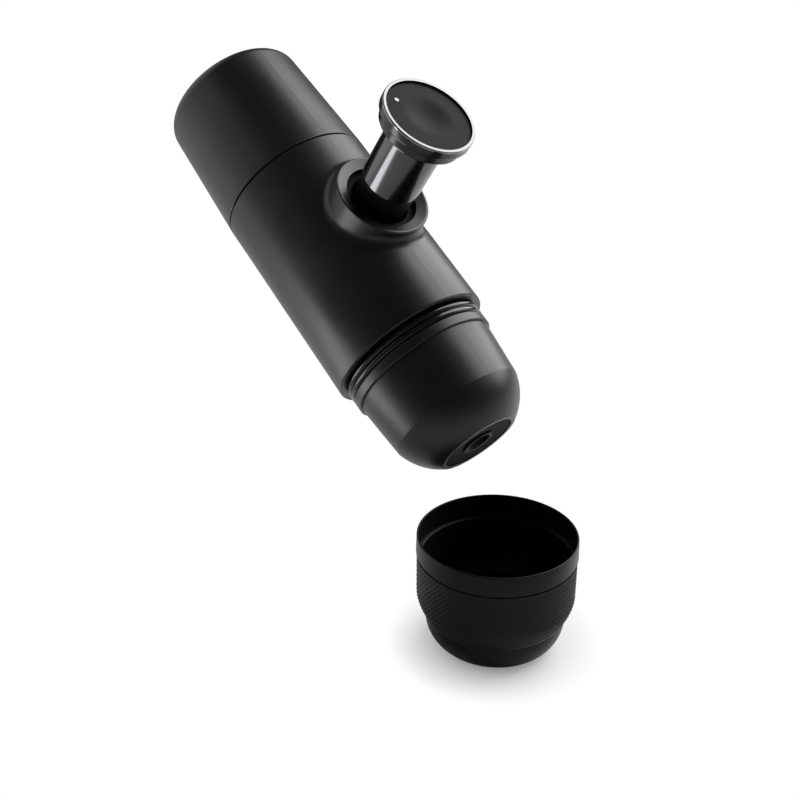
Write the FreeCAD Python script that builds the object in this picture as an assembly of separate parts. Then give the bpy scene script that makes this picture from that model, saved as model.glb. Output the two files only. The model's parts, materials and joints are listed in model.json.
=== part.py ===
import FreeCAD, Part
import math
import os
from FreeCAD import Vector

# Handheld manual espresso maker, held tilted over its cup, in millimetres.
# The row stands on the cup's base: +Z is up, and Y = 0 is the plane of symmetry.
# The machine itself is modelled level: X runs from the tank to the spout with X = 0 at the
# tank's seam, and Z runs out along the piston. It is tilted into place at the end.

# Where the machine is held over the cup
machine_tilt = 36.7
nose_x = -10.5
nose_above_rim = 32.4

# Overall sizes
body_radius = 30.0
tank_length = 50.0
body_length = 78.8
head_length = 37.4
piston_station = 34.2

# Clearances
seam_gap = 0.5
slip = 0.1
seat_gap = 0.05
sliding_fit = 0.05
ridge_gap = 0.3
thread_room = 1.4
nose_room = 0.3

# Screw threads, one turn each
thread_lead = 6.0
thread_root = 2.2
thread_crest = 1.0
thread_depth = 1.1
thread_bite = 0.3

# Water tank and its neck
tank_taper = 2.4
tank_base = 2.5
tank_wall_at_base = 2.4
tank_edge_round = 4.5
tank_floor_round = 2.0
tank_mouth_depth = 10.0
tank_bore_room = 0.2
neck_inset = 4.0
neck_length = 9.0
neck_wall = 2.5
neck_thread_margin = 1.3
seam_round = 0.3

# Body shell and the piston's collar
shell_wall = 2.4
grip_end = 11.5
lip_flare = 0.5
lip_round = 0.8
collar_width = 4.4
collar_rise = 4.8
collar_room = 2.6
collar_dish = 1.2
collar_land = 0.9
collar_edge_round = 0.6
collar_fillet = 4.0
guide_below_collar = 3.2
guide_depth = 7.0

# Chassis
deck_start = 0.5
deck_thickness = 3.5
plate_thickness = 3.0
plate_room = 0.8
plate_low_gap = 0.8
plate_high_share = 0.7
saddle_thickness = 3.0
saddle_margin = 1.3

# Brew housing, neck ring and what hangs in the outlet
lip_overhang = 0.4
flange_thickness = 6.6
ring_inset = 1.8
ring_seat_inset = 2.4
ring_groove_depth = 0.9
ring_length = 4.8
head_neck_inset = 5.0
head_neck_length = 8.9
head_thread_margin = 1.4
housing_wall = 2.0
housing_floor = 3.4
shower_thickness = 2.5
shower_standoff = 5.0
shower_hole = 0.7
shower_spacing = 4.6
shower_post_radius = 2.0
shower_post_inset = 4.9
screen_thickness = 0.7
screen_hole = 0.5
screen_spacing = 3.0
screen_ring_width = 1.8
hole_margin = 0.8
gasket_thickness = 0.8
duct_radius = 1.5
duct_depth = 5.0

# Outlet head
shoulder_inset = 0.1
shoulder_length = 3.7
shoulder_round = 0.4
head_edge_round = 0.5
side_root_inset = 1.0
dome_length = 13.4
dome_root_inset = 2.7
dome_bulge = 1.6
nose_radius = 15.4
nose_rim_width = 1.5
nose_recess_depth = 1.4
plate_setback = 0.3
plate_dish = 0.5
plate_rim = 2.2
plate_land = 1.0
basket_to_nose = 14.4
basket_play = 0.2
basket_clearance = 0.8
basket_hole = 0.45
basket_spacing = 2.9
basket_flange = 1.0
basket_wall = 1.0
basket_lip = 1.2
basket_room = 0.4
funnel_depth = 5.0
nozzle_radius = 6.0
nozzle_length = 6.5
nozzle_lip = 1.1
nozzle_setback = 0.2
spout_radius = 2.2
spout_mouth_widening = 0.6
spout_mouth_depth = 2.6

# Pump
pump_drop = 16.0
pump_bore = 7.0
pump_wall = 1.4
pump_floor_thickness = 3.0
pump_flange_radius = 14.2
pump_flange = 2.8
cap_depth = 2.5
cap_room = 0.3
cap_flange = 1.5
stroke = 28.0
dead_space = 1.0
piston_height = 6.5
rod_radius = 2.5
ring_wire = 1.0
ring_stations = (1.7, 4.8)

# Valve block, its balls and its tubes
block_radius = 4.2
block_gap = 0.3
port_wall = 2.0
block_before = 20.2
block_after = 19.8
inlet_seat_before = 17.2
outlet_seat_after = 9.8
passage_radius = 1.2
chamber_radius = 2.5
chamber_length = 8.0
ball_radius = 2.0
valve_wire = 0.2
valve_coils = 4
tube_radius = 2.6
tube_bore = 1.5
tube_plug = 2.0
strainer_height = 1.2
strainer_radius = 2.6
strainer_wall = 0.7
strainer_floor = 0.5
strainer_hole = 0.35
strainer_spacing = 1.2

# Piston sleeve and knob
sleeve_radius = 10.8
sleeve_wall = 0.6
sleeve_above_collar = 7.2
sleeve_flare = 2.2
sleeve_flare_length = 3.0
sleeve_flare_hollow = 0.66
inner_tube_wall = 1.35
inner_tube_lift = 1.0
knob_clearance = 2.4
lower_tier_radius = 15.3
lower_tier = 3.6
lower_tier_bevel = 0.8
knob_radius = 16.9
knob_height = 8.0
rim_width = 1.2
rim_round = 0.5
face_recess = 0.6
face_thickness = 1.6
dish_radius = 8.4
dish_depth = 1.1
dot_radius = 0.8
dot_depth = 0.6
dot_offset = 11.9
dot_angle = -138.0
boss_radius = 4.4
boss_length = 6.0
rod_socket = 2.0
rod_tapping = 4.0

# Return spring
spring_radius = 5.7
spring_wire = 0.5
spring_coils = 9

# Fasteners
screw_radius = 1.2
screw_head_radius = 2.1
screw_head = 1.4
socket_radius = 0.95
socket_depth = 0.85
screw_bite = 6.0
screw_seat = 3.0
screw_setback = 0.4
low_screw_share = 0.62
high_screw_share = 0.7

# Cup
cup_outset = 0.9
band_flare = 0.2
mouth_fit = 0.15
ledge_inset = 0.8
ledge_depth = 9.2
band_height = 7.0
groove_height = 1.2
groove_depth = 0.4
side_foot = 20.5
grip_bottom = 14.6
grip_thickness = 0.5
bowl_turn_height = 12.6
bowl_turn_inset = 3.5
bowl_swell = 0.5
bowl_wall = 1.0
bowl_round_height = 3.8
bowl_round_inset = 2.6
foot_inside_height = 6.2
foot_inside_inset = 3.2
cup_base_inset = 11.0
cup_base_wall = 2.0
cup_floor = 1.8
rim_edge = 0.6
rim_bow = 0.12

# Sizes that follow: tank, shell and chassis
tank_end_radius = body_radius - tank_taper
neck_radius = body_radius - neck_inset
mouth_bore = neck_radius + thread_room
shell_bore = body_radius - shell_wall
deck_radius = shell_bore - slip
deck_end = deck_start + deck_thickness
collar_bore = sleeve_radius + collar_room
collar_radius = collar_bore + collar_width
collar_top = body_radius + collar_rise
guide_top = collar_top - guide_below_collar
plate_inside = pump_flange_radius + plate_room
plate_outside = plate_inside + plate_thickness
plate_reach = math.sqrt(deck_radius ** 2 - plate_outside ** 2)
plate_low = plate_low_gap - plate_reach
plate_high = plate_reach * plate_high_share
saddle_half_length = pump_flange_radius + saddle_margin

# Sizes that follow: neck and outlet
flange_end = body_length - lip_overhang
flange_start = flange_end - flange_thickness
ring_radius = body_radius - ring_inset
ring_seat_radius = ring_radius - ring_seat_inset
ring_start = body_length + ridge_gap
ring_end = ring_start + ring_length
head_start = ring_end + ridge_gap
nose_station = head_start + head_length
head_neck_radius = ring_radius - head_neck_inset
head_bore = head_neck_radius + thread_room
housing_bore = head_neck_radius - housing_wall
housing_floor_end = flange_end + housing_floor
housing_end = ring_end + head_neck_length
shower_start = housing_floor_end + shower_standoff
screen_start = shower_start + shower_thickness + seat_gap
basket_radius = housing_bore - basket_play
basket_flange_radius = head_neck_radius + slip
basket_seat = housing_end + gasket_thickness + 2 * seat_gap
basket_end = nose_station - basket_to_nose
nose_recess_radius = nose_radius - nose_rim_width

# Sizes that follow: pump, piston and knob
pump_floor = pump_drop - body_radius
pump_radius = pump_bore + pump_wall
pump_bottom = pump_floor - pump_floor_thickness
pump_flange_top = pump_bottom + pump_flange
piston_bottom = pump_floor + dead_space + stroke
piston_top = piston_bottom + piston_height
pump_top = piston_top + cap_depth
block_height = pump_bottom - block_radius - block_gap
block_start = piston_station - block_before
block_end = piston_station + block_after
inlet_seat = piston_station - inlet_seat_before
outlet_seat = piston_station + outlet_seat_after
ball_reach = math.sqrt(ball_radius ** 2 - passage_radius ** 2)
valve_spring_radius = ball_radius * 0.75
port_radius = duct_radius + port_wall
sleeve_bottom = collar_top + sleeve_above_collar
inner_tube_radius = sleeve_radius - sleeve_wall - sliding_fit
inner_tube_bottom = piston_bottom + inner_tube_lift
knob_underside = collar_top + stroke + knob_clearance
knob_top = knob_underside + knob_height
face_top = knob_top - face_recess
face_seat = face_top - face_thickness - seat_gap
screw_hole = screw_radius + sliding_fit

# Sizes that follow: cup, whose floor just clears the nose when it closes the machine
cup_height = nose_station - ring_start + cup_floor + nose_room
cup_radius = ring_radius + cup_outset
cup_mouth = ring_radius + mouth_fit
band_foot = cup_height - band_height
grip_top = band_foot - groove_height
bowl_turn_radius = cup_radius - bowl_turn_inset
tilt = math.radians(machine_tilt)
seam_x = nose_x - nose_station * math.cos(tilt)
seam_z = cup_height + nose_above_rim + nose_station * math.sin(tilt)


def outline(start, *steps):
    """A closed profile of (along, out) points; a step of two points is an arc through the first."""
    edges = []
    here = Vector(start[0], 0, start[1])
    first = here
    for step in steps:
        if isinstance(step[0], tuple):
            through = Vector(step[0][0], 0, step[0][1])
            there = Vector(step[1][0], 0, step[1][1])
            edges.append(Part.Arc(here, through, there).toShape())
        else:
            there = Vector(step[0], 0, step[1])
            edges.append(Part.LineSegment(here, there).toShape())
        here = there
    edges.append(Part.LineSegment(here, first).toShape())
    return Part.Face(Part.Wire(edges))


def bulged(start, end, bulge):
    """An arc step to end whose middle stands the given distance outside the straight line."""
    along = end[0] - start[0]
    out = end[1] - start[1]
    length = math.hypot(along, out)
    middle = ((start[0] + end[0]) / 2, (start[1] + end[1]) / 2)
    return (middle[0] - bulge * out / length, middle[1] + bulge * along / length), end


def turned(start, *steps):
    """A piece turned about the machine's axis, from (station, radius) points."""
    return outline(start, *steps).revolve(Vector(0, 0, 0), Vector(1, 0, 0), 360)


def stood(start, *steps):
    """A piece turned about the cup's upright axis, from (height, radius) points."""
    face = outline(start, *steps)
    face.rotate(Vector(0, 0, 0), Vector(0, 1, 0), -90)
    return face.revolve(Vector(0, 0, 0), Vector(0, 0, 1), 360)


def raised(start, *steps):
    """A piece turned about the piston's axis, from (height, radius) points."""
    piece = stood(start, *steps)
    piece.translate(Vector(piston_station, 0, 0))
    return piece


def ring(low, high, inner, outer):
    """The four corners of a plain ring's section."""
    return (low, inner), (high, inner), (high, outer), (low, outer)


def rod_along(start, end, radius, height=0.0, side=0.0):
    """A round rod or drill parallel to the machine's axis."""
    return Part.makeCylinder(radius, end - start, Vector(start, side, height), Vector(1, 0, 0))


def rod_up(low, high, radius, along=0.0, side=0.0):
    """A round rod or drill parallel to the piston's axis, placed from the piston's axis."""
    return Part.makeCylinder(radius, high - low, Vector(piston_station + along, side, low))


def block(low, high):
    """A box between two corners."""
    size = [b - a for a, b in zip(low, high)]
    return Part.makeBox(size[0], size[1], size[2], Vector(*low))


def rounded(shape, radius, wanted):
    """Fillets the edges whose (radius, centre) the wanted function accepts."""
    edges = []
    for edge in shape.Edges:
        if hasattr(edge.Curve, "Radius") and wanted(edge.Curve.Radius, edge.Curve.Center):
            edges.append(edge)
    return shape.makeFillet(radius, edges)


def near(a, b):
    return abs(a - b) < 0.01


def around(count, radius, first_angle=0.0):
    """Points (height, side) evenly spaced on a circle about the machine's axis."""
    angles = [math.radians(first_angle + 360.0 * step / count) for step in range(count)]
    return [(radius * math.cos(angle), radius * math.sin(angle)) for angle in angles]


def thread(start, radius, outward, turn):
    """One turn of a right-hand ridge on a round wall, outward 1 for a neck and -1 for a bore."""
    base = radius - outward * thread_bite
    crest = radius + outward * thread_depth
    corners = [Vector(base, 0, -thread_root / 2), Vector(crest, 0, -thread_crest / 2),
               Vector(crest, 0, thread_crest / 2), Vector(base, 0, thread_root / 2)]
    section = Part.makePolygon(corners + corners[:1])
    helix = Part.makeHelix(thread_lead, thread_lead, radius)
    ridge = Part.Wire(helix.Edges).makePipeShell([section], True, True)
    ridge.rotate(Vector(0, 0, 0), Vector(0, 0, 1), turn)
    ridge.rotate(Vector(0, 0, 0), Vector(0, 1, 0), 90)
    ridge.translate(Vector(start, 0, 0))
    return ridge


def arc_pair(start, start_way, end, end_way):
    """Two arcs that leave one point and reach another along the given directions."""
    span = end - start
    ways = start_way + end_way
    spread = 2 * (1 - start_way.dot(end_way))
    reach = (-span.dot(ways) + math.sqrt(span.dot(ways) ** 2 + spread * span.dot(span))) / spread
    middle = (start + end + (start_way - end_way) * reach) * 0.5
    arcs = []
    for here, way, there in ((start, start_way, middle), (end, end_way * -1, middle)):
        chord = there - here
        line = Vector(chord).normalize()
        bow = (way - line * way.dot(line)).normalize()
        rise = chord.Length / 2 * math.tan(math.acos(max(-1, min(1, way.dot(line)))) / 2)
        arcs.append(Part.Arc(here, (here + there) * 0.5 + bow * rise, there).toShape())
    return arcs


def coil_spring(name, low, high, radius, wire, coils):
    """A round-wire spring about Z, one unbroken tube with short straight ends."""
    quarters = coils * 4
    rise = (high - low - 2 * wire) / quarters

    def place(step):
        turn = step * math.pi / 2
        return Vector(radius * math.cos(turn), radius * math.sin(turn), low + wire + rise * step)

    def way(step):
        turn = step * math.pi / 2
        speed = radius * math.pi / 2
        return Vector(-speed * math.sin(turn), speed * math.cos(turn), rise).normalize()

    lead_in = place(0) - way(0) * 2 * wire
    lead_out = place(quarters) + way(quarters) * 2 * wire
    edges = [Part.LineSegment(lead_in, place(0)).toShape()]
    for step in range(quarters):
        edges += arc_pair(place(step), way(step), place(step + 1), way(step + 1))
    edges.append(Part.LineSegment(place(quarters), lead_out).toShape())
    path = Part.Wire(Part.__sortEdges__(edges))
    section = Part.Wire(Part.makeCircle(wire, lead_in, way(0)))
    print(name, "least gap to itself", round(self_gap(place, quarters, wire), 2), "mm")
    return path.makePipeShell([section], True, False)


def self_gap(place, quarters, wire):
    """The least distance between turns of a coil, less the wire's diameter."""
    points = [place(step / 8) for step in range(quarters * 8 + 1)]
    least = 1000.0
    for first in range(len(points)):
        for second in range(first + 16, len(points)):
            least = min(least, points[first].distanceToPoint(points[second]))
    return least - 2 * wire


def screw(foot, way, length):
    """A socket-head screw whose shank ends at foot and whose head is along way."""
    shank = Part.makeCylinder(screw_radius, length, foot, way)
    top = foot + way * length
    head = Part.makeCylinder(screw_head_radius, screw_head, top, way)
    socket = Part.makeCylinder(socket_radius, socket_depth, top + way * (screw_head - socket_depth), way)
    return shank.fuse(head).cut(socket).removeSplitter()


def perforated(disc, station, depth, hole, spacing, reach):
    """A disc across the machine's axis with rings of small holes out to the given radius."""
    centres = [(0.0, 0.0)]
    for number in range(1, int(reach / spacing) + 1):
        centres += around(6 * number, spacing * number)
    drills = [rod_along(station - 1, station + depth + 1, hole, height, side) for height, side in centres]
    return disc.cut(Part.makeCompound(drills))


def water_tank():
    """The tapered tank, whose bore narrows towards its base, with one thread inside its mouth."""
    inner_base = tank_base - tank_length
    base_bore = tank_end_radius - tank_wall_at_base
    tank = turned((-tank_length, 0), (-tank_length, tank_end_radius), (-seam_gap / 2, body_radius),
                  (-seam_gap / 2, mouth_bore), (-tank_mouth_depth, mouth_bore),
                  (-tank_mouth_depth, neck_radius + tank_bore_room), (inner_base, base_bore), (inner_base, 0))
    tank = rounded(tank, tank_edge_round, lambda r, c: near(r, tank_end_radius) and near(c.x, -tank_length))
    tank = rounded(tank, tank_floor_round, lambda r, c: near(r, base_bore) and near(c.x, inner_base))
    tank = rounded(tank, seam_round, lambda r, c: near(r, body_radius) and near(c.x, -seam_gap / 2))
    return tank.fuse(thread(neck_thread_margin - neck_length, mouth_bore, -1, 180))


def tank_seal():
    end = -neck_length - seat_gap
    inner = neck_radius - neck_wall
    return turned(*ring(-tank_mouth_depth + seat_gap, end, inner, mouth_bore - slip))


def body_shell():
    """The long shell, straight where it is gripped and then a little wider towards its lip."""
    tube = turned((seam_gap / 2, 0), (seam_gap / 2, body_radius), (grip_end, body_radius),
                  (body_length, body_radius + lip_flare), (body_length, 0))
    tube = rounded(tube, lip_round, lambda r, c: near(c.x, body_length))
    tube = rounded(tube, seam_round, lambda r, c: near(r, body_radius) and near(c.x, seam_gap / 2))
    shell = tube.fuse(rod_up(0, collar_top, collar_radius))
    joint = [e for e in shell.Edges
             if e.BoundBox.ZMin > body_radius / 2 and e.BoundBox.ZMax < body_radius + 0.5
             and e.BoundBox.XMin > piston_station - collar_radius - 1
             and e.BoundBox.XMax < piston_station + collar_radius + 1
             and e.BoundBox.YLength > 5]
    shell = shell.makeFillet(collar_fillet, joint)
    shell = rounded(shell, collar_edge_round, lambda r, c: near(r, collar_radius) and near(c.z, collar_top))
    dish = raised((collar_top - collar_dish, 0), (collar_top + 1, 0), (collar_top + 1, collar_radius),
                  (collar_top, collar_radius - collar_land), (collar_top - collar_dish, collar_bore))
    bore = rod_along(-1, body_length + 1, shell_bore)
    well = rod_up(0, collar_top + 1, collar_bore)
    return shell.cut(dish).cut(bore).cut(well)


def pump_chassis():
    """The tank's neck and deck, two side plates and the saddle that carries the pump."""
    inner = neck_radius - neck_wall
    hub = turned((-neck_length, inner), (-neck_length, neck_radius), (deck_start, neck_radius),
                 (deck_start, deck_radius), (deck_end, deck_radius), (deck_end, 0), (deck_start, 0),
                 (deck_start, inner))
    ridge = thread(neck_thread_margin - neck_length, neck_radius, 1, 0)
    plates = []
    for low_y in (plate_inside, -plate_outside):
        plates.append(block((deck_end - 0.5, low_y, plate_low),
                            (flange_start - seat_gap, low_y + plate_thickness, plate_high)))
    saddle_top = pump_bottom - seat_gap
    saddle_start = piston_station - saddle_half_length
    saddle_end = piston_station + saddle_half_length
    saddle = block((saddle_start, -plate_inside - 0.5, saddle_top - saddle_thickness),
                   (saddle_end, plate_inside + 0.5, saddle_top))
    frame = hub.fuse(plates + [saddle])
    drills = [rod_along(saddle_start - 1, saddle_end + 1, block_radius + slip, block_height),
              rod_up(block_height, 0, port_radius + 2 * slip),
              rod_along(deck_start - 1, deck_end + 1, tube_radius + sliding_fit, block_height)]
    for along, side in pump_screw_places():
        drills.append(rod_up(saddle_top - saddle_thickness - 1, saddle_top + 1, screw_hole, along, side))
    for height, side in housing_screw_places():
        drills.append(rod_along(flange_start - screw_bite - 1, flange_start, screw_hole, height, side))
    frame = frame.cut(Part.makeCompound(drills)).common(rod_along(-neck_length, flange_start, deck_radius))
    return frame.fuse(ridge)


def pump_screw_places():
    """The four pump screws, on the diagonals of the pump's flange."""
    reach = (pump_flange_radius - screw_head_radius + 0.1) * math.sqrt(0.5)
    return [(a * reach, b * reach) for a in (1, -1) for b in (1, -1)]


def housing_screw_places():
    """The four screws that hold the brew housing to the side plates."""
    middle = (plate_inside + plate_outside) / 2
    heights = (plate_low * low_screw_share, plate_high * high_screw_share)
    return [(height, side * middle) for height in heights for side in (1, -1)]


def pump_screws():
    screws = []
    for along, side in pump_screw_places():
        foot = Vector(piston_station + along, side, pump_bottom - saddle_thickness + screw_setback)
        screws.append(screw(foot, Vector(0, 0, 1), pump_flange_top + seat_gap - foot.z))
    return Part.makeCompound(screws)


def housing_screws():
    screws = []
    for height, side in housing_screw_places():
        foot = Vector(flange_start - screw_bite, side, height)
        screws.append(screw(foot, Vector(1, 0, 0), screw_bite + screw_seat + seat_gap))
    return Part.makeCompound(screws)


def brew_housing():
    """The flange that closes the shell and the threaded neck that holds the shower and the head."""
    body = turned((flange_start, 0), (flange_start, deck_radius), (flange_end, deck_radius),
                  (flange_end, ring_seat_radius), (ring_end, ring_seat_radius),
                  (ring_end, head_neck_radius), (housing_end, head_neck_radius),
                  (housing_end, housing_bore), (housing_floor_end, housing_bore), (housing_floor_end, 0))
    body = body.fuse(thread(ring_end + head_thread_margin, head_neck_radius, 1, 0))
    duct_turn = flange_start + duct_depth
    rise = Part.makeCylinder(duct_radius - slip, -block_height, Vector(duct_turn, 0, block_height))
    drills = [rod_along(flange_start - 1, duct_turn, tube_radius + sliding_fit, block_height), rise,
              rod_along(duct_turn - duct_radius, housing_floor_end + 1, duct_radius)]
    for height, side in housing_screw_places():
        drills.append(rod_along(flange_start - 1, flange_end, screw_hole, height, side))
        drills.append(rod_along(flange_start + screw_seat, flange_end + 1, screw_head_radius + slip,
                                height, side))
    return body.cut(Part.makeCompound(drills))


def neck_ring():
    """Two rounded ridges that the cup's mouth grips."""
    root = ring_radius - ring_groove_depth
    middle = (ring_start + ring_end) / 2
    inner = ring_seat_radius + sliding_fit
    return turned((ring_start, inner), (ring_start, root),
                  (((ring_start + middle) / 2, ring_radius), (middle, root)),
                  (((middle + ring_end) / 2, ring_radius), (ring_end, root)), (ring_end, inner))


def shower_head():
    """The thick drilled disc on three posts that spreads the water."""
    disc = turned(*ring(shower_start, shower_start + shower_thickness, 0.0, housing_bore - slip))
    foot = housing_floor_end + seat_gap
    posts = []
    for height, side in around(3, housing_bore - shower_post_inset, 60):
        posts.append(rod_along(foot, shower_start + 0.5, shower_post_radius, height, side))
    return perforated(disc.fuse(posts), shower_start, shower_thickness, shower_hole, shower_spacing,
                      housing_bore - hole_margin)


def shower_screen():
    disc = turned(*ring(screen_start, screen_start + screen_thickness, 0.0, housing_bore - slip))
    return perforated(disc, screen_start, screen_thickness, screen_hole, screen_spacing,
                      housing_bore - screen_ring_width - hole_margin)


def screen_ring():
    """The snap ring that keeps the shower screen in the housing's bore."""
    start = screen_start + screen_thickness + seat_gap
    return turned(*ring(start, housing_end, housing_bore - screen_ring_width, housing_bore - sliding_fit))


def basket_gasket():
    start = housing_end + seat_gap
    return turned(*ring(start, start + gasket_thickness, basket_radius - basket_wall, head_neck_radius))


def filter_basket():
    """The flanged basket, open at both ends, with a lip that holds its screen."""
    wall = basket_radius - basket_wall
    return turned((basket_seat, wall), (basket_seat, basket_flange_radius),
                  (basket_seat + basket_flange, basket_flange_radius),
                  (basket_seat + basket_flange, basket_radius), (basket_end, basket_radius),
                  (basket_end, wall - basket_lip), (basket_end - basket_wall, wall - basket_lip),
                  (basket_end - basket_wall, wall))


def basket_screen():
    start = basket_end - basket_wall - seat_gap - screen_thickness
    disc = turned(*ring(start, start + screen_thickness, 0.0, basket_radius - basket_wall - slip))
    return perforated(disc, start, screen_thickness, basket_hole, basket_spacing,
                      basket_radius - basket_wall - basket_lip - hole_margin)


def outlet_head():
    """The domed head with a low shoulder, a thread inside its mouth and a funnel to the nozzle."""
    shoulder_end = head_start + shoulder_length
    shoulder_radius = ring_radius - shoulder_inset
    side_end = (nose_station - dome_length, ring_radius - dome_root_inset)
    nose = (nose_station, nose_radius)
    seat = basket_seat + basket_flange + seat_gap
    cavity_end = basket_end + basket_clearance
    cavity_radius = basket_radius + basket_room
    nozzle_hole = nozzle_radius + sliding_fit
    head = turned((head_start, head_bore), (head_start, shoulder_radius), (shoulder_end, shoulder_radius),
                  (shoulder_end, ring_radius - side_root_inset), side_end, bulged(side_end, nose, dome_bulge),
                  (nose_station, nose_recess_radius), (nose_station - nose_recess_depth, nose_recess_radius),
                  (nose_station - nose_recess_depth, nozzle_hole), (cavity_end + funnel_depth, nozzle_hole),
                  (cavity_end, cavity_radius), (seat, cavity_radius), (seat, head_bore))
    for station, size in ((head_start, head_edge_round), (shoulder_end, shoulder_round)):
        head = rounded(head, size, lambda r, c: near(r, shoulder_radius) and near(c.x, station))
    return head.fuse(thread(ring_end + head_thread_margin, head_bore, -1, 180))


def nozzle_plate():
    """The disc that sits in the nose's recess, dished towards the spout."""
    back = nose_station - nose_recess_depth + seat_gap
    face = nose_station - plate_setback
    hole = nozzle_radius + sliding_fit
    return turned((back, hole), (back, nose_recess_radius - slip), (face, nose_recess_radius - slip),
                  (face, nose_recess_radius - plate_rim), (face - plate_dish, hole + plate_land),
                  (face - plate_dish, hole))


def spout_nozzle():
    end = nose_station - nozzle_setback
    back = end - nozzle_length
    mouth = end - spout_mouth_depth
    return turned((back, spout_radius), (back, nozzle_radius), (end, nozzle_radius),
                  (end, nozzle_radius - nozzle_lip),
                  (mouth + spout_mouth_widening, spout_radius + spout_mouth_widening), (mouth, spout_radius))


def pump_cylinder():
    tube = raised((pump_bottom, 0), (pump_bottom, pump_flange_radius), (pump_flange_top, pump_flange_radius),
                  (pump_flange_top, pump_radius), (pump_top, pump_radius), (pump_top, pump_bore),
                  (pump_floor, pump_bore), (pump_floor, 0))
    drills = [rod_up(pump_bottom - 1, pump_floor + 1, duct_radius)]
    for along, side in pump_screw_places():
        drills.append(rod_up(pump_bottom - 1, pump_flange_top + 1, screw_hole, along, side))
    return tube.cut(Part.makeCompound(drills))


def cylinder_cap():
    """The cap that closes the pump round the piston's rod."""
    rod_hole = rod_radius + sliding_fit
    under = pump_top + seat_gap
    spigot = piston_top + cap_room
    return raised((spigot, rod_hole), (spigot, pump_bore - sliding_fit),
                  (under, pump_bore - sliding_fit), (under, pump_radius),
                  (pump_top + cap_flange, pump_radius), (pump_top + cap_flange, rod_hole))


def valve_block():
    """The bar under the pump, drilled for its passage, its two ball chambers and its tubes."""
    bar = rod_along(block_start, block_end, block_radius, block_height)
    stub = rod_up(block_height, pump_bottom - 2 * seat_gap, port_radius)
    drills = [rod_along(block_start - 1, block_end + 1, passage_radius, block_height),
              rod_up(block_height, pump_bottom, duct_radius)]
    for seat in (inlet_seat, outlet_seat):
        drills.append(rod_along(seat, seat + chamber_length, chamber_radius, block_height))
    for start in (block_start - 1, block_end - tube_plug):
        drills.append(rod_along(start, start + tube_plug + 1, tube_radius + sliding_fit, block_height))
    return bar.fuse(stub).cut(Part.makeCompound(drills))


def valve_ball(seat):
    """A ball that rests against the sharp edge of its seat."""
    return Part.makeSphere(ball_radius, Vector(seat + ball_reach + seat_gap, 0, block_height))


def valve_spring(name, seat):
    """The light spring between a ball and the far end of its chamber."""
    start = seat + ball_reach + valve_spring_radius
    end = seat + chamber_length - seat_gap
    coil = coil_spring(name, start, end, valve_spring_radius, valve_wire, valve_coils)
    coil.rotate(Vector(0, 0, 0), Vector(0, 1, 0), 90)
    coil.translate(Vector(0, 0, block_height))
    return coil


def water_tube(start, end):
    """A short silicone tube between two sockets, level with the valve block."""
    tube = turned(*ring(start, end, tube_bore, tube_radius))
    tube.translate(Vector(0, 0, block_height))
    return tube


def inlet_screen():
    """The small strainer over the pump's inlet, on the floor of the neck."""
    start = deck_start - strainer_height
    foot = deck_start - seat_gap
    inner = strainer_radius - strainer_wall
    floor = start + strainer_floor
    cup = turned((start, 0), (start, strainer_radius), (foot, strainer_radius), (foot, inner),
                 (floor, inner), (floor, 0))
    cup = perforated(cup, start, strainer_floor, strainer_hole, strainer_spacing, strainer_spacing)
    cup.translate(Vector(0, 0, block_height))
    return cup.common(rod_along(start, deck_start, neck_radius - neck_wall - seat_gap))


def sleeve_guide():
    return raised(*ring(guide_top - guide_depth, guide_top, sleeve_radius + slip, collar_bore - sliding_fit))


def piston_rod():
    """The piston's head, with its two ring grooves, and the rod up to the knob."""
    head = raised(*ring(piston_bottom, piston_top, 0.0, pump_bore - slip))
    rod = rod_up(piston_top - 1, knob_underside + rod_socket, rod_radius)
    grooves = []
    for station in ring_stations:
        middle = piston_bottom + station
        grooves.append(raised(*ring(middle - ring_wire - sliding_fit, middle + ring_wire + sliding_fit,
                                    pump_bore - 2 * ring_wire - 3 * sliding_fit, pump_bore + 1)))
    tapped = rod_up(knob_underside - rod_tapping, knob_underside + rod_socket + 1, screw_hole)
    return head.fuse(rod).cut(Part.makeCompound(grooves + [tapped]))


def piston_seals():
    seals = []
    for station in ring_stations:
        seals.append(Part.makeTorus(pump_bore - ring_wire - sliding_fit, ring_wire,
                                    Vector(piston_station, 0, piston_bottom + station)))
    return Part.makeCompound(seals)


def piston_tube():
    inner = inner_tube_radius - inner_tube_wall
    return raised(*ring(inner_tube_bottom, knob_underside - seat_gap, inner, inner_tube_radius))


def piston_sleeve():
    """The bright sleeve, flared where it meets the knob."""
    top = knob_underside - seat_gap
    flare_start = (top - sleeve_flare_length, sleeve_radius)
    flare_end = (top, sleeve_radius + sleeve_flare)
    inner = sleeve_radius - sleeve_wall
    return raised((sleeve_bottom, inner), (sleeve_bottom, sleeve_radius), flare_start,
                  bulged(flare_start, flare_end, -sleeve_flare_hollow), (top, inner))


def knob_body():
    """The knob's black core: a bevelled lower tier, an upper tier and a boss for the rod."""
    tier_top = knob_underside + lower_tier
    rim_inner = knob_radius - rim_width - sliding_fit
    core = raised((knob_underside, 0), (knob_underside, lower_tier_radius - lower_tier_bevel),
                  (knob_underside + lower_tier_bevel, lower_tier_radius), (tier_top, lower_tier_radius),
                  (tier_top, rim_inner), (face_seat, rim_inner), (face_seat, 0))
    boss_end = knob_underside - boss_length
    boss = rod_up(boss_end, knob_underside + 1, boss_radius)
    drills = [rod_up(boss_end - 1, knob_underside + rod_socket + seat_gap, rod_radius + sliding_fit),
              rod_up(knob_underside, knob_top, screw_hole),
              rod_up(face_seat - screw_head - slip, knob_top, screw_head_radius + slip)]
    return core.fuse(boss).cut(Part.makeCompound(drills))


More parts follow.
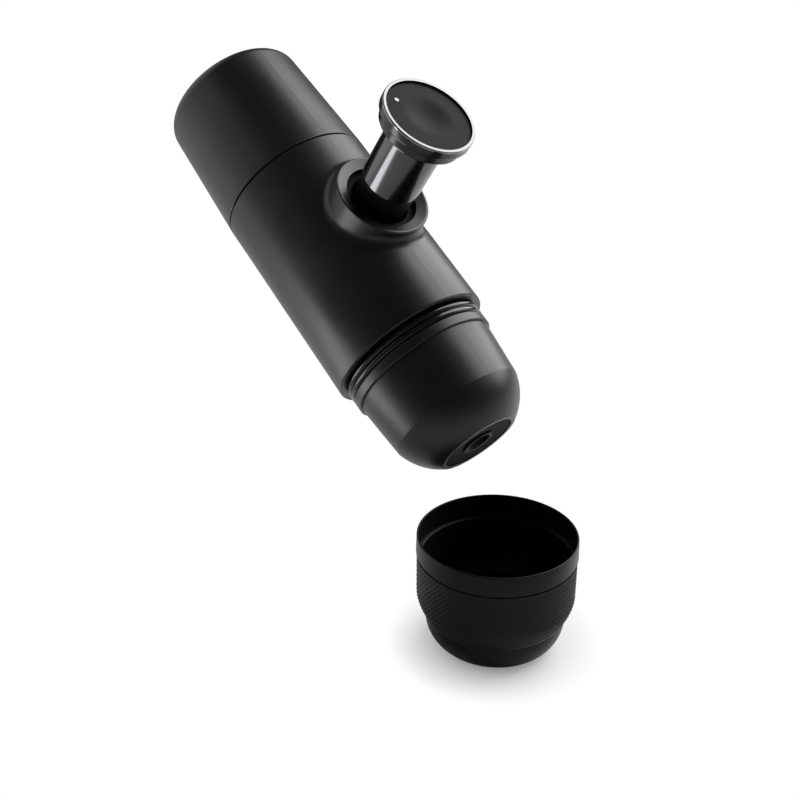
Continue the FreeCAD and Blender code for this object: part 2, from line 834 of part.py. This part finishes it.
def knob_rim():
    """The bright ring round the knob's upper tier, with a rolled top edge."""
    low = knob_underside + lower_tier + seat_gap
    band = raised(*ring(low, knob_top, knob_radius - rim_width, knob_radius))
    return rounded(band, rim_round, lambda r, c: near(r, knob_radius))


def knob_face():
    """The satin face, a flat ring round a shallow dish."""
    disc = raised(*ring(face_top - face_thickness, face_top, 0.0, knob_radius - rim_width - sliding_fit))
    dish_ball = (dish_radius ** 2 + dish_depth ** 2) / (2 * dish_depth)
    dish = Part.makeSphere(dish_ball, Vector(piston_station, 0, face_top - dish_depth + dish_ball))
    return disc.cut(dish).cut(dot_rod(seat_gap))


def dot_rod(room):
    turn = math.radians(dot_angle)
    return rod_up(face_top - dot_depth - room, face_top + 0.1, dot_radius + room,
                  dot_offset * math.cos(turn), dot_offset * math.sin(turn))


def knob_screw():
    foot = Vector(piston_station, 0, knob_underside - rod_tapping + 1)
    return screw(foot, Vector(0, 0, 1), face_seat - screw_head - foot.z - seat_gap)


def return_spring():
    coil = coil_spring("return_spring", pump_top + cap_flange + seat_gap, knob_underside - seat_gap,
                       spring_radius, spring_wire, spring_coils)
    coil.translate(Vector(piston_station, 0, 0))
    return coil


def cup_body():
    """The cup, with a recess for its grip band and a ledge inside that meets the outlet head."""
    groove = cup_radius - groove_depth
    ledge = ring_radius - ledge_inset
    ledge_height = cup_height - ledge_depth
    base_radius = cup_radius - cup_base_inset
    floor_edge = (cup_floor, base_radius - cup_base_wall)
    turn = (bowl_turn_height, bowl_turn_radius)
    inner_turn = (bowl_turn_height, bowl_turn_radius - bowl_wall)
    inner_side = (side_foot, ledge - slip)
    foot_inside = (foot_inside_height, bowl_turn_radius - foot_inside_inset)
    rim_foot = (cup_height - rim_edge, cup_radius)
    rim_top = (cup_height, (cup_radius + cup_mouth) / 2)
    body = stood((0, 0), (0, base_radius), ((bowl_round_height, bowl_turn_radius - bowl_round_inset), turn),
                 bulged(turn, (side_foot, cup_radius), bowl_swell), (grip_top, cup_radius),
                 (grip_top, groove), (band_foot, groove), (band_foot, cup_radius + band_flare),
                 rim_foot, bulged(rim_foot, rim_top, rim_bow),
                 (cup_height, cup_mouth), (ledge_height, cup_mouth), (ledge_height, ledge),
                 inner_side, bulged(inner_side, inner_turn, -bowl_swell), (foot_inside, floor_edge),
                 (cup_floor, 0))
    return body.cut(grip_sleeve(sliding_fit))


def grip_sleeve(room):
    """The band round the cup's straight side and the top of its bowl, with some room round it."""
    level = stood((grip_bottom - room, 0), (grip_bottom - room, 2 * cup_radius),
                  (grip_top + room, 2 * cup_radius), (grip_top + room, 0))
    return level.common(bowl_inside(0.0)).cut(bowl_inside(grip_thickness + room))


def bowl_inside(depth):
    """Everything that lies deeper than this under the outside of the cup's side and bowl."""
    turn = (bowl_turn_height, bowl_turn_radius - depth)
    side = (side_foot, cup_radius - depth)
    return stood((bowl_turn_height, 0), turn, bulged(turn, side, bowl_swell),
                 (cup_height, cup_radius - depth), (cup_height, 0))


def cup_grip():
    return grip_sleeve(0.0)


machine_pieces = {
    "water_tank": water_tank,
    "tank_seal": tank_seal,
    "body_shell": body_shell,
    "sleeve_guide": sleeve_guide,
    "pump_chassis": pump_chassis,
    "inlet_screen": inlet_screen,
    "suction_tube": lambda: water_tube(deck_start + 1, block_start + tube_plug - 0.2),
    "valve_block": valve_block,
    "inlet_ball": lambda: valve_ball(inlet_seat),
    "inlet_spring": lambda: valve_spring("inlet_spring", inlet_seat),
    "outlet_ball": lambda: valve_ball(outlet_seat),
    "outlet_spring": lambda: valve_spring("outlet_spring", outlet_seat),
    "pressure_tube": lambda: water_tube(block_end - tube_plug + 0.2, flange_start + 3),
    "pump_cylinder": pump_cylinder,
    "cylinder_cap": cylinder_cap,
    "pump_screws": pump_screws,
    "piston_rod": piston_rod,
    "piston_seals": piston_seals,
    "return_spring": return_spring,
    "piston_tube": piston_tube,
    "piston_sleeve": piston_sleeve,
    "knob_body": knob_body,
    "knob_screw": knob_screw,
    "knob_rim": knob_rim,
    "knob_face": knob_face,
    "indicator_dot": lambda: dot_rod(0.0),
    "brew_housing": brew_housing,
    "housing_screws": housing_screws,
    "neck_ring": neck_ring,
    "shower_head": shower_head,
    "shower_screen": shower_screen,
    "screen_ring": screen_ring,
    "basket_gasket": basket_gasket,
    "filter_basket": filter_basket,
    "basket_screen": basket_screen,
    "outlet_head": outlet_head,
    "nozzle_plate": nozzle_plate,
    "spout_nozzle": spout_nozzle,
}
cup_pieces = {"cup_body": cup_body, "cup_grip": cup_grip}

held = FreeCAD.Placement(Vector(seam_x, 0, seam_z), FreeCAD.Rotation(Vector(0, 1, 0), machine_tilt))
os.makedirs("parts", exist_ok=True)
for name, make in list(machine_pieces.items()) + list(cup_pieces.items()):
    piece = make()
    if name in machine_pieces:
        piece.Placement = held.multiply(piece.Placement)
    print(name, "solids", len(piece.Solids), "valid", piece.isValid(), "volume", round(piece.Volume, 1))
    piece.exportStep("parts/" + name + ".step")
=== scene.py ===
import bpy
import json
import math
from mathutils import Matrix, Vector


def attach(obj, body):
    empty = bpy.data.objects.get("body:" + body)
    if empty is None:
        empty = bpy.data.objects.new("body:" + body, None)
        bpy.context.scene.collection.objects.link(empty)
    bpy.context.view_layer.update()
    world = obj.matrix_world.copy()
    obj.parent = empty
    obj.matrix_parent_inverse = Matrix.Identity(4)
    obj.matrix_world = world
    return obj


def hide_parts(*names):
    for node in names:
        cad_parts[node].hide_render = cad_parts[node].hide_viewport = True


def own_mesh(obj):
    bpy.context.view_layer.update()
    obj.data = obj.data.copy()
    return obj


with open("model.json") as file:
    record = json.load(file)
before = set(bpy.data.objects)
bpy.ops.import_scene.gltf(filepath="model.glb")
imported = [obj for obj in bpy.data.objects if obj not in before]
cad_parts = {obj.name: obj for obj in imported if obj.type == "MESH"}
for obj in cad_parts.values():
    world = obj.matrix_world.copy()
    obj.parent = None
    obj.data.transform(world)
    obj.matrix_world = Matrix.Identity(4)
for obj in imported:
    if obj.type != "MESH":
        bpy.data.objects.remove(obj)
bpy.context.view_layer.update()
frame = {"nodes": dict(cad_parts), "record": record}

MM = 0.001
# Pieces that touch keep a hair of room, in millimetres
hair = 0.05
trace = 0.02

# The camera, from the photograph's outlines
camera_place = Vector((0.23452, -0.26819, 0.25831))
camera_azimuth = math.radians(46.81)
camera_drop = math.radians(24.43)
focal_pixels = 1146.8
image_pixels = 800.0
sensor_mm = 36.0

# Where the machine is held, as in the frame: X to the spout and Z along the piston, from the seam
machine_tilt = math.radians(36.7)
nose_station = 0.1216
nose_place = Vector((-0.0105, 0.0, 0.077))
piston_station = 0.0342
around = 192

# Knob, in millimetres: heights from the machine's axis, radii from the piston's axis
tier_top = 68.8
knob_top = 73.2
knob_radius = 16.9
band_bevel = 1.1
edge_height = 0.9
edge_round = 0.7
face_level = 72.52
face_under = 71.0
face_edge = 15.65
face_round = 0.4
dish_radius = 9.4
dish_depth = 1.1
dish_steps = 24
# How far out the dish's curve and the flat rim beside it reach, as shares of the face's edge
curve_share = 0.8
rim_share = 0.85
band_corner = 0.3
band_shoulder = 0.5

# Return spring under the knob, in millimetres, at its full length
spring_foot = 25.43
spring_top = 65.27
spring_radius = 5.7
spring_wire = 0.5
spring_coils = 9
coil_steps = 48
wire_steps = 12

# Cup, in millimetres: its side is straight above the side's foot, and the bowl curves in below it
cup_height = 44.6
cup_base_radius = 18.1
cup_mouth = 28.35
cup_ledge = 27.4
ledge_height = 35.4
groove_radius = 28.7
band_foot = 37.6
band_radius = 29.3
cup_wall = 1.0
cup_floor = 1.8
cup_floor_radius = 16.1
cup_foot_round = 0.3
ledge_drop = 0.1
rim_rounds = {4: 0.25, 5: 0.4, 6: 0.25, 7: 0.25, 8: 0.5}
grip_low = 14.6
grip_high = 36.4
grip_radius = 29.1
grip_depth = 0.5
side_foot = 20.5
bowl_turn_height = 12.6
bowl_turn_radius = 25.6
bowl_swell = 0.55
bowl_round_height = 3.8
bowl_round_radius = 23.0
foot_height = 6.2
foot_radius = 22.4
knurl_sink = 0.03
knurl_depth = 0.3
knurl_around = 96
knurl_rows = 11
knurl_steps = 6
knurl_edge_steps = 2

# Stage and lamps, in metres and watts
floor_radius = 3.0
lamps_face = Vector((-0.05, 0.0, 0.12))
floor_fade_start = 0.012
floor_fade_end = 0.040
world_level = 0.08
back_lamp_place = (0.10, 0.80, 0.72)
back_lamp_size = 1.1
back_lamp_power = 16.0
side_lamp_place = (-0.75, -0.35, 0.45)
side_lamp_size = 1.0
side_lamp_power = 3.0
card_foot = Vector((-0.06, 0.0, 0.004))
card_way = Vector((-0.555, -0.832, 0.0))
card_distance = 0.40
card_width = 0.11
card_length = 0.50
card_power = 0.90


def machine_matrix():
    """The machine's axis as X and the piston's way as Z, from the tank's seam."""
    turn = Matrix.Rotation(machine_tilt, 4, "Y")
    seam = nose_place - turn @ Vector((nose_station, 0, 0))
    return Matrix.Translation(seam) @ turn


def along_piston():
    """The same, from the foot of the piston's axis."""
    return machine_matrix() @ Matrix.Translation(Vector((piston_station, 0, 0)))


def upright():
    return Matrix.Identity(4)


def softened(profile, radii, steps=5):
    """The profile with each corner that has a radius rounded by a curve of about that radius."""
    points = []
    last = len(profile) - 1
    for index, corner in enumerate(profile):
        radius = radii.get(index, 0)
        if not radius or index in (0, last):
            points.append(corner)
            continue
        here = Vector(corner)
        before = Vector(profile[index - 1]) - here
        after = Vector(profile[index + 1]) - here
        half = before.angle(after) / 2
        reach = min(radius / math.tan(half), before.length * 0.49, after.length * 0.49)
        start = here + before.normalized() * reach
        end = here + after.normalized() * reach
        for step in range(steps + 1):
            t = step / steps
            point = start * (1 - t) ** 2 + here * 2 * t * (1 - t) + end * t ** 2
            points.append((point.x, point.y))
    return points


def lathe(name, profile, place, closed=False, turns=around):
    """A surface turned about Z from (along, out) points in millimetres, put in place by a matrix."""
    vertices = []
    rings = []
    for along, out in profile:
        if out < 1e-6:
            rings.append([len(vertices)])
            vertices.append((0, 0, along * MM))
            continue
        ring = []
        for step in range(turns):
            turn = 2 * math.pi * step / turns
            ring.append(len(vertices))
            vertices.append((out * MM * math.cos(turn), out * MM * math.sin(turn), along * MM))
        rings.append(ring)
    pairs = list(zip(rings, rings[1:]))
    if closed:
        pairs.append((rings[-1], rings[0]))
    faces = []
    for low, high in pairs:
        for step in range(turns):
            after = (step + 1) % turns
            if len(low) == 1 and len(high) == 1:
                continue
            if len(low) == 1:
                faces.append((low[0], high[after], high[step]))
            elif len(high) == 1:
                faces.append((low[step], low[after], high[0]))
            else:
                faces.append((low[step], low[after], high[after], high[step]))
    return finished_mesh(name, vertices, faces, place)


def finished_mesh(name, vertices, faces, place, sharp=32):
    """A mesh put in place, smooth except at edges sharper than an angle in degrees."""
    mesh = bpy.data.meshes.new(name)
    mesh.from_pydata(vertices, [], faces)
    mesh.transform(place)
    piece = bpy.data.objects.new(name, mesh)
    bpy.context.scene.collection.objects.link(piece)
    bpy.context.view_layer.objects.active = piece
    piece.select_set(True)
    bpy.ops.object.mode_set(mode="EDIT")
    bpy.ops.mesh.select_all(action="SELECT")
    bpy.ops.mesh.normals_make_consistent(inside=False)
    bpy.ops.object.mode_set(mode="OBJECT")
    bpy.ops.object.shade_smooth_by_angle(angle=math.radians(sharp))
    piece.select_set(False)
    return piece


def new_material(name):
    material = bpy.data.materials.new(name)
    material.use_nodes = True
    nodes = material.node_tree.nodes
    return material, nodes, material.node_tree.links, nodes["Principled BSDF"]


def noise(nodes, links, scale, detail=3.0, stretch=None):
    """A noise pattern fixed to the piece."""
    coordinate = nodes.new("ShaderNodeTexCoord")
    mapping = nodes.new("ShaderNodeMapping")
    if stretch:
        mapping.inputs["Scale"].default_value = stretch
    texture = nodes.new("ShaderNodeTexNoise")
    texture.inputs["Scale"].default_value = scale
    texture.inputs["Detail"].default_value = detail
    links.new(coordinate.outputs["Object"], mapping.inputs["Vector"])
    links.new(mapping.outputs["Vector"], texture.inputs["Vector"])
    return texture


def ramp(nodes, links, source, low, high, dark, light):
    """A value that goes from dark to light while its source goes from low to high."""
    spread = nodes.new("ShaderNodeMapRange")
    spread.inputs["From Min"].default_value = low
    spread.inputs["From Max"].default_value = high
    spread.inputs["To Min"].default_value = dark
    spread.inputs["To Max"].default_value = light
    links.new(source, spread.inputs["Value"])
    return spread.outputs["Result"]


def tint(nodes, links, source, dark, light):
    """A colour between two, chosen by its source."""
    mix = nodes.new("ShaderNodeMix")
    mix.data_type = "RGBA"
    mix.inputs["A"].default_value = (*dark, 1)
    mix.inputs["B"].default_value = (*light, 1)
    links.new(source, mix.inputs["Factor"])
    return mix.outputs["Result"]


def moulded_plastic(name, dark, light, rough_low, rough_high, grain_mm, bump, gloss=0.5):
    """Moulded plastic with a fine spark-eroded grain and faint handling marks."""
    material, nodes, links, shader = new_material(name)
    shader.inputs["Specular IOR Level"].default_value = gloss
    grain = noise(nodes, links, 1000.0 / grain_mm, 2.0)
    marks = noise(nodes, links, 38.0, 5.0)
    share = ramp(nodes, links, marks.outputs["Fac"], 0.35, 0.7, 0, 1)
    links.new(tint(nodes, links, share, dark, light), shader.inputs["Base Color"])
    links.new(ramp(nodes, links, marks.outputs["Fac"], 0.3, 0.72, rough_low, rough_high),
              shader.inputs["Roughness"])
    relief = nodes.new("ShaderNodeBump")
    relief.inputs["Strength"].default_value = bump
    relief.inputs["Distance"].default_value = 0.00004
    links.new(grain.outputs["Fac"], relief.inputs["Height"])
    links.new(relief.outputs["Normal"], shader.inputs["Normal"])
    return material


def metal(name, dark, light, rough_low, rough_high, stretch):
    """Metal with a fine drawn grain in its roughness."""
    material, nodes, links, shader = new_material(name)
    shader.inputs["Metallic"].default_value = 1.0
    grain = noise(nodes, links, 60.0, 4.0, stretch)
    links.new(tint(nodes, links, grain.outputs["Fac"], dark, light), shader.inputs["Base Color"])
    links.new(ramp(nodes, links, grain.outputs["Fac"], 0.3, 0.7, rough_low, rough_high),
              shader.inputs["Roughness"])
    return material


def silicone():
    """Milky rubber with a faint haze."""
    material, nodes, links, shader = new_material("silicone")
    haze = noise(nodes, links, 300.0)
    links.new(tint(nodes, links, haze.outputs["Fac"], (0.30, 0.30, 0.29), (0.40, 0.40, 0.39)),
              shader.inputs["Base Color"])
    links.new(ramp(nodes, links, haze.outputs["Fac"], 0.3, 0.7, 0.35, 0.5), shader.inputs["Roughness"])
    shader.inputs["Subsurface Weight"].default_value = 0.2
    shader.inputs["Subsurface Scale"].default_value = 0.002
    return material


cool_cast = 1.04


def grey(level):
    """A neutral colour with the faintest cool cast."""
    return (level, level, level * cool_cast)


def plastic(name, dark, light, rough_low, rough_high, grain_mm, bump, gloss=0.5):
    """A grey moulded plastic as a row of the material table."""
    return name, moulded_plastic(name, grey(dark), grey(light), rough_low, rough_high, grain_mm, bump, gloss)


def bare_metal(name, dark, light, rough_low, rough_high, stretch=(1, 1, 1)):
    """A grey metal as a row of the material table."""
    return name, metal(name, grey(dark), grey(light), rough_low, rough_high, stretch)


# Carried-over nodes that look different from the rest of their slot
own_material = {"piston_sleeve": "smoked_chrome", "nozzle_plate": "outlet_black",
                "sleeve_guide": "outlet_black"}
# Each row: name, dark and light, roughness from and to, and for plastics grain in mm, bump and gloss
materials = dict([
    plastic("shell_black", 0.004, 0.008, 0.34, 0.42, 0.35, 0.35),
    plastic("cup_black", 0.003, 0.006, 0.32, 0.40, 0.35, 0.25, 0.2),
    plastic("grip_black", 0.004, 0.008, 0.42, 0.52, 0.25, 0.4, 0.2),
    plastic("gloss_black", 0.004, 0.007, 0.16, 0.22, 0.6, 0.05),
    plastic("inner_black", 0.003, 0.006, 0.46, 0.56, 0.4, 0.3, 0.12),
    plastic("inner_grey", 0.10, 0.14, 0.40, 0.50, 0.4, 0.3),
    plastic("knob_satin", 0.009, 0.013, 0.42, 0.52, 0.3, 0.3, 0.06),
    bare_metal("bright_chrome", 0.17, 0.20, 0.10, 0.14),
    bare_metal("smoked_chrome", 0.10, 0.12, 0.10, 0.14),
    plastic("outlet_black", 0.004, 0.007, 0.50, 0.60, 0.4, 0.3, 0.03),
    bare_metal("steel", 0.50, 0.60, 0.22, 0.32, (1, 1, 6)),
    ("silicone", silicone()),
])


def dress(piece, slot_name, body=None, replaced=()):
    """Gives a piece its material, its body and the nodes it stands for."""
    piece.data.materials.clear()
    piece.data.materials.append(materials[slot_name])
    if body:
        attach(piece, body)
    if replaced:
        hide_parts(*replaced)
    return piece


def dress_carried_nodes():
    """Every CAD node that stays visible gets its slot's material."""
    for row in frame["record"]["subparts"]:
        node = frame["nodes"][row["node"]]
        node.data.materials.clear()
        node.data.materials.append(materials[own_material.get(row["node"], row["material_slot"])])


def make_camera():
    """The photograph's camera, level from side to side."""
    data = bpy.data.cameras.new("camera")
    data.sensor_width = sensor_mm
    data.lens = sensor_mm * focal_pixels / image_pixels
    camera = bpy.data.objects.new("camera", data)
    bpy.context.scene.collection.objects.link(camera)
    level = Vector((-math.sin(camera_azimuth), math.cos(camera_azimuth), 0))
    forward = level * math.cos(camera_drop) - Vector((0, 0, math.sin(camera_drop)))
    camera.location = camera_place
    camera.rotation_euler = forward.to_track_quat("-Z", "Y").to_euler()
    bpy.context.scene.camera = camera


def area_light(name, place, target, size, power, size_y=None):
    """A lamp that faces a target: square, or oblong when it has a second size."""
    data = bpy.data.lights.new(name, "AREA")
    data.energy = power
    data.size = size
    if size_y:
        data.shape = "RECTANGLE"
        data.size_y = size_y
    lamp = bpy.data.objects.new(name, data)
    bpy.context.scene.collection.objects.link(lamp)
    lamp.location = place
    lamp.rotation_euler = (Vector(target) - Vector(place)).to_track_quat("-Z", "Y").to_euler()
    return lamp


def make_floor_material():
    """White paper: it keeps the shadow near the cup and is plain white further out."""
    material, nodes, links, shader = new_material("floor_white")
    shader.inputs["Base Color"].default_value = (0.88, 0.88, 0.88, 1)
    shader.inputs["Roughness"].default_value = 0.3
    glow = nodes.new("ShaderNodeEmission")
    glow.inputs["Strength"].default_value = 1.0
    coordinate = nodes.new("ShaderNodeTexCoord")
    distance = nodes.new("ShaderNodeVectorMath")
    distance.operation = "LENGTH"
    links.new(coordinate.outputs["Object"], distance.inputs[0])
    far = ramp(nodes, links, distance.outputs["Value"], floor_fade_start, floor_fade_end, 0, 1)
    ray = nodes.new("ShaderNodeLightPath")
    share = nodes.new("ShaderNodeMath")
    share.operation = "MULTIPLY"
    links.new(far, share.inputs[0])
    links.new(ray.outputs["Is Camera Ray"], share.inputs[1])
    mix = nodes.new("ShaderNodeMixShader")
    links.new(share.outputs["Value"], mix.inputs["Fac"])
    links.new(shader.outputs["BSDF"], mix.inputs[1])
    links.new(glow.outputs["Emission"], mix.inputs[2])
    links.new(mix.outputs["Shader"], nodes["Material Output"].inputs["Surface"])
    return material


def make_stage():
    """The floor, and a world that looks white and lights the object only a little."""
    floor = lathe("floor", [(0, 0), (0, floor_radius / MM)], upright(), turns=64)
    floor.data.materials.append(make_floor_material())
    world = bpy.data.worlds.new("world")
    bpy.context.scene.world = world
    world.use_nodes = True
    nodes = world.node_tree.nodes
    links = world.node_tree.links
    dim = nodes["Background"]
    dim.inputs["Color"].default_value = (1, 1, 1, 1)
    dim.inputs["Strength"].default_value = world_level
    white = nodes.new("ShaderNodeBackground")
    white.inputs["Color"].default_value = (1, 1, 1, 1)
    white.inputs["Strength"].default_value = 1.0
    seen = nodes.new("ShaderNodeLightPath")
    mix = nodes.new("ShaderNodeMixShader")
    links.new(seen.outputs["Is Camera Ray"], mix.inputs["Fac"])
    links.new(dim.outputs["Background"], mix.inputs[1])
    links.new(white.outputs["Background"], mix.inputs[2])
    links.new(mix.outputs["Shader"], nodes["World Output"].inputs["Surface"])


def make_lights():
    """Two softboxes, and a white card on the floor that lights the machine's near side."""
    area_light("back_softbox", back_lamp_place, lamps_face, back_lamp_size, back_lamp_power)
    area_light("side_softbox", side_lamp_place, lamps_face, side_lamp_size, side_lamp_power)
    place = card_foot + card_way * card_distance
    card = area_light("low_card", place, place + Vector((0, 0, 1)), card_width, card_power, card_length)
    card.rotation_euler = (math.pi, 0, math.atan2(card_way.y, card_way.x) - math.pi / 2)
    card.visible_camera = False


def knurl_height(turns, rise):
    """How high the knurl stands, from 0 in a groove to 1 on a point."""
    first = abs(2 * ((turns + rise) % 1.0) - 1)
    second = abs(2 * ((turns - rise) % 1.0) - 1)
    return min(first, second)


def cup_side(height):
    """The outside radius of the cup's side and the top of its bowl, in millimetres."""
    along = min(1.0, (height - bowl_turn_height) / (side_foot - bowl_turn_height))
    straight = bowl_turn_radius + (grip_radius - bowl_turn_radius) * along
    return straight + bowl_swell * 4 * along * (1 - along)


def arc_through(start, middle, end, steps=14):
    """Points of the arc from start to end through middle, without its first point."""
    first = Vector(middle) - Vector(start)
    second = Vector(end) - Vector(start)
    cross = 2 * (first.x * second.y - first.y * second.x)
    reach = first.length_squared
    span = second.length_squared
    offset = Vector((second.y * reach - first.y * span, first.x * span - second.x * reach))
    centre = Vector(start) + offset / cross
    spoke = Vector(start) - centre
    far = Vector(end) - centre
    turn = math.atan2(spoke.x * far.y - spoke.y * far.x, spoke.dot(far))
    points = []
    for step in range(1, steps + 1):
        angle = turn * step / steps
        points.append((centre.x + spoke.x * math.cos(angle) - spoke.y * math.sin(angle),
                       centre.y + spoke.x * math.sin(angle) + spoke.y * math.cos(angle)))
    return points


def side_steps(low, high, depth, steps=12):
    """Points up the cup's side at a depth under its outside."""
    heights = [low + (high - low) * step / steps for step in range(steps + 1)]
    return [(height, cup_side(height) - depth) for height in heights]


def make_cup_shell():
    """The cup with its grip recess, softened rims and a softened ledge inside."""
    base = (0, cup_base_radius)
    middle = (bowl_round_height, bowl_round_radius)
    recess = grip_radius - grip_depth - hair
    points = softened([(0, 0), base, middle], {1: cup_foot_round})[:-1]
    points += arc_through(base, middle, (bowl_turn_height, bowl_turn_radius))
    points += side_steps(bowl_turn_height, grip_low - hair, 0, 4)[1:]
    points += side_steps(grip_low - hair, side_foot, grip_depth + hair)
    rim = [(side_foot, recess), (grip_high + hair, recess), (grip_high + hair, groove_radius),
           (band_foot, groove_radius), (band_foot, band_radius), (cup_height, grip_radius - trace),
           (cup_height, cup_mouth), (ledge_height, cup_mouth), (ledge_height, cup_ledge),
           (side_foot, cup_ledge - ledge_drop)]
    points += softened(rim, rim_rounds, 6)[1:]
    points += side_steps(bowl_turn_height, side_foot, cup_wall)[-2::-1]
    points += arc_through((bowl_turn_height, bowl_turn_radius - cup_wall), (foot_height, foot_radius),
                          (cup_floor, cup_floor_radius))
    points.append((cup_floor, 0))
    return lathe("cup_shell", points, upright())


def ring_points(height, radii):
    """One ring of a band's points, in metres, from a height and the radii round it in millimetres."""
    points = []
    for column, out in enumerate(radii):
        angle = 2 * math.pi * column / len(radii)
        points.append((out * MM * math.cos(angle), out * MM * math.sin(angle), height * MM))
    return points


def knurled_radii(row, rows, columns, height):
    """The radii round one row of the knurl, which fades out at the band's edges."""
    edge = min(1.0, row / knurl_edge_steps, (rows - row) / knurl_edge_steps)
    radii = []
    for column in range(columns):
        cut = knurl_depth * (1 - knurl_height(column / knurl_steps, row / knurl_steps)) * edge
        radii.append(cup_side(height) - knurl_sink - cut)
    return radii


def make_grip():
    """The cup's grip band, cut all over with a shallow diamond knurl."""
    columns = knurl_around * knurl_steps
    rows = knurl_rows * knurl_steps
    heights = [grip_low + (grip_high - grip_low) * row / rows for row in range(rows + 1)]
    vertices = []
    for row, height in enumerate(heights):
        vertices += ring_points(height, knurled_radii(row, rows, columns, height))
    for height in heights[::-knurl_steps]:
        vertices += ring_points(height, [cup_side(height) - grip_depth] * columns)
    rings = len(vertices) // columns
    faces = []
    for ring in range(rings):
        after = (ring + 1) % rings
        for column in range(columns):
            side = (column + 1) % columns
            faces.append((ring * columns + column, ring * columns + side,
                          after * columns + side, after * columns + column))
    return finished_mesh("grip_band", vertices, faces, upright(), sharp=50)


def make_knob_details():
    """The softly dished face, the black side band and the bright edge of the knob."""
    face = []
    for step in range(dish_steps + 1):
        out = face_edge * curve_share * step / dish_steps
        along = min(1.0, out / dish_radius)
        face.append((face_level - dish_depth * (1 - along ** 2) ** 2, out))
    face += softened([(face_level, face_edge * rim_share), (face_level, face_edge),
                      (face_under, face_edge), (face_under, 0)], {1: face_round}, 6)
    dress(lathe("turned_face", face, along_piston()), "knob_satin", "knob", ["knob_face"])
    band_low = tier_top + hair
    edge_foot = knob_top - edge_height
    inside = face_edge + hair
    band = softened([(band_low, inside), (band_low, knob_radius - band_bevel),
                     (tier_top + band_bevel, knob_radius), (edge_foot, knob_radius),
                     (edge_foot, inside)], {1: band_corner, 2: band_shoulder}, 6)
    dress(lathe("side_band", band, along_piston(), closed=True), "gloss_black", "knob", ["knob_rim"])
    edge = softened([(edge_foot, inside), (edge_foot, knob_radius - trace),
                     (knob_top, knob_radius - trace), (knob_top, inside)],
                    {2: edge_round, 3: band_shoulder}, 10)
    dress(lathe("bright_edge", edge, along_piston(), closed=True), "bright_chrome", "knob")


def make_return_spring():
    """The spring round the piston's rod, drawn at its full length."""
    place = along_piston()
    low = spring_foot + spring_wire
    rise = spring_top - spring_foot - 2 * spring_wire
    rings = spring_coils * coil_steps
    vertices = []
    for ring in range(rings + 1):
        turn = 2 * math.pi * ring / coil_steps
        for step in range(wire_steps):
            angle = 2 * math.pi * step / wire_steps
            out = (spring_radius + spring_wire * math.cos(angle)) * MM
            height = (low + rise * ring / rings + spring_wire * math.sin(angle)) * MM
            vertices.append((out * math.cos(turn), out * math.sin(turn), height))
    faces = [tuple(range(wire_steps)), tuple(rings * wire_steps + step for step in range(wire_steps))]
    for ring in range(rings):
        for step in range(wire_steps):
            after = (step + 1) % wire_steps
            first = ring * wire_steps
            faces.append((first + step, first + after,
                          first + wire_steps + after, first + wire_steps + step))
    spring = dress(finished_mesh("coiled_spring", vertices, faces, place, sharp=60),
                   "steel", "machine", ["return_spring"])
    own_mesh(spring)


dress_carried_nodes()
dress(make_cup_shell(), "cup_black", "cup", ["cup_body"])
dress(make_grip(), "grip_black", "cup", ["cup_grip"])
make_knob_details()
make_return_spring()
make_stage()
make_lights()
make_camera()

bpy.context.scene.view_settings.view_transform = "Standard"
